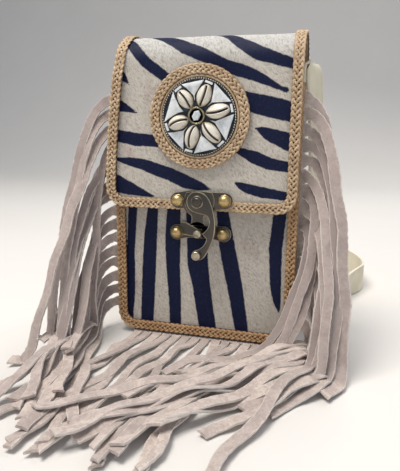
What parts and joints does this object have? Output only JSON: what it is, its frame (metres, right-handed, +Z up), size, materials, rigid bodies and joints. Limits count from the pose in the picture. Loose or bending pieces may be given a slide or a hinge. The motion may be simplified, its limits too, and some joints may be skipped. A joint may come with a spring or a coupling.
{
  "type": "fringe phone bag",
  "caption": "Small upright phone bag in zebra-marked hide with braided edges, long suede fringe, a shell medallion, a swing-hook latch and a leather strap.",
  "frame": {"origin": "middle of the flat underside of the bag's bottom wall, on the surface that it stands on", "axes": "+Z up, the decorated front faces -Y, +X to the right as seen from the front"},
  "size_m": [0.2248, 0.4006, 0.1944],
  "materials": {
    "hide": "short hair-on hide, cream with near-black stripes",
    "back_leather": "plain dark leather",
    "suede": "matt suede with lighter cut edges",
    "lacing": "tan leather lacing, plaited",
    "resin": "dark blue-black resin",
    "shell": "glossy cowrie shell",
    "white_inlay": "polished white bone or shell",
    "stone": "pale faceted stone",
    "dark_brass": "dark antique brass",
    "bright_brass": "brighter worn brass",
    "strap_leather": "smooth pale leather"
  },
  "bodies": {
    "bag": {"front_panel": "hide", "back_panel": "back_leather", "gusset": "suede", "flap": "hide", "front_braid": "lacing", "flap_braid": "lacing", "medallion_braid": "lacing", "medallion_disc": "resin", "cowrie_1": "shell", "cowrie_2": "shell", "cowrie_3": "shell", "cowrie_4": "shell", "cowrie_5": "shell", "cowrie_6": "shell", "tile_1": "white_inlay", "tile_2": "white_inlay", "tile_3": "white_inlay", "tile_4": "white_inlay", "tile_5": "white_inlay", "tile_6": "white_inlay", "chip_1": "white_inlay", "chip_2": "white_inlay", "chip_3": "white_inlay", "chip_4": "white_inlay", "chip_5": "white_inlay", "chip_6": "white_inlay", "centre_ring": "dark_brass", "centre_stone": "stone", "hasp_plate": "dark_brass", "catch_plate": "dark_brass", "hook_pivot": "dark_brass", "stud_1": "bright_brass", "stud_2": "bright_brass", "stud_3": "bright_brass", "stud_4": "bright_brass", "fringe_left": "suede", "fringe_right": "suede", "fringe_bottom": "suede", "strap": "strap_leather"},
    "hook": {"swing_hook": "dark_brass"}
  },
  "joints": [
    {"name": "hook_swing", "type": "hinge", "parent": "bag", "child": "hook", "pos_m": [-0.0015, -0.0256, 0.0927], "axis": [0, -1, 0], "range_deg": [0, 29]}
  ]
}
